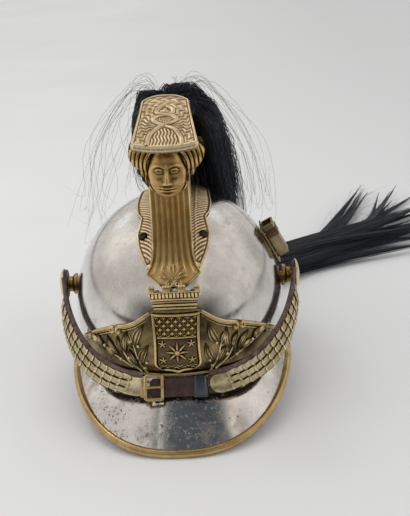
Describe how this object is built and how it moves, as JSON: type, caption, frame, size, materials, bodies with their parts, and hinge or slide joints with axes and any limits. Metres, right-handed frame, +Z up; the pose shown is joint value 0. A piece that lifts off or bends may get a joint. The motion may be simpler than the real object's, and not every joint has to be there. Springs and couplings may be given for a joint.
{
  "type": "crested cavalry helmet",
  "caption": "Steel parade helmet with brass-edged visor and neck guard, brass front plate, tall brass crest with hair mane, plume socket and scaled chinstraps.",
  "frame": {"origin": "centre of the bowl's plan on the plane that the helmet stands on", "axes": "+Z up, -Y to the front (visor), +X to the wearer's left (plume socket side)"},
  "size_m": [0.4542, 0.7292, 0.2836],
  "materials": {
    "polished_steel": "polished, worn, with fine pitting and light stains",
    "brass": "aged stamped brass, brown in the hollows",
    "crest_brass": "aged satin brass",
    "edging_brass": "rolled brass, rubbed bright on top",
    "plain_steel": "plain worn steel",
    "dark_steel": "blackened steel",
    "mane_hair": "long black horsehair",
    "holder_wood": "dark stained wood",
    "socket_metal": "dull grey-brown brass",
    "strap_leather": "dark brown worn leather",
    "liner_leather": "brown sweatband leather",
    "liner_cord": "dark braided lace"
  },
  "bodies": {
    "helmet": {"bowl": "polished_steel", "visor": "polished_steel", "visor_edging": "edging_brass", "neck_guard": "polished_steel", "neck_guard_edging": "edging_brass", "visor_rivets": "brass", "neck_guard_rivets": "brass", "frontal_plate": "brass", "plate_border": "brass", "plate_leaves": "brass", "shield": "brass", "mural_crown": "brass", "crest_front": "crest_brass", "crest_palmette": "crest_brass", "crest_head": "crest_brass", "crest_cap": "crest_brass", "crest_left_side": "crest_brass", "crest_right_side": "crest_brass", "crest_left_flange": "brass", "crest_right_flange": "brass", "crest_screws": "dark_steel", "crest_nuts": "plain_steel", "mane_holder": "holder_wood", "mane": "mane_hair", "mane_tail": "mane_hair", "plume_socket": "socket_metal", "plume_socket_plate": "socket_metal", "plume_socket_rivets": "socket_metal", "right_boss": "brass", "left_boss": "brass", "right_boss_stud": "brass", "left_boss_stud": "brass", "boss_nuts": "plain_steel", "liner_band": "liner_leather", "liner_tongues": "liner_leather", "liner_lace": "liner_cord"},
    "right_chinstrap": {"right_strap": "strap_leather", "right_scales": "brass", "right_end_plate": "brass", "buckle_frame": "brass"},
    "left_chinstrap": {"left_strap": "strap_leather", "left_scales": "brass", "left_end_plate": "brass", "strap_tongue": "strap_leather"},
    "buckle_prong": {"buckle_prong": "brass"},
    "keeper": {"keeper": "plain_steel"}
  },
  "joints": [
    {"name": "right_chinstrap_swing", "type": "hinge", "parent": "helmet", "child": "right_chinstrap", "pos_m": [-0.1055, 0.005, 0.094], "axis": [-1, 0, 0], "range_deg": [0, 35]},
    {"name": "left_chinstrap_swing", "type": "hinge", "parent": "helmet", "child": "left_chinstrap", "pos_m": [0.1055, 0.005, 0.094], "axis": [-1, 0, 0], "range_deg": [0, 35]},
    {"name": "buckle_prong_lift", "type": "hinge", "parent": "right_chinstrap", "child": "buckle_prong", "pos_m": [-0.028, -0.12221, 0.04755], "axis": [0, -0.5736, -0.8192], "range_deg": [0, 65]},
    {"name": "keeper_slide", "type": "slide", "parent": "left_chinstrap", "child": "keeper", "axis": [1, 0, 0], "range_m": [-0.008, 0]}
  ],
  "couplings": [
    {"joint": "left_chinstrap_swing", "follows": "right_chinstrap_swing", "ratio": 1}
  ]
}
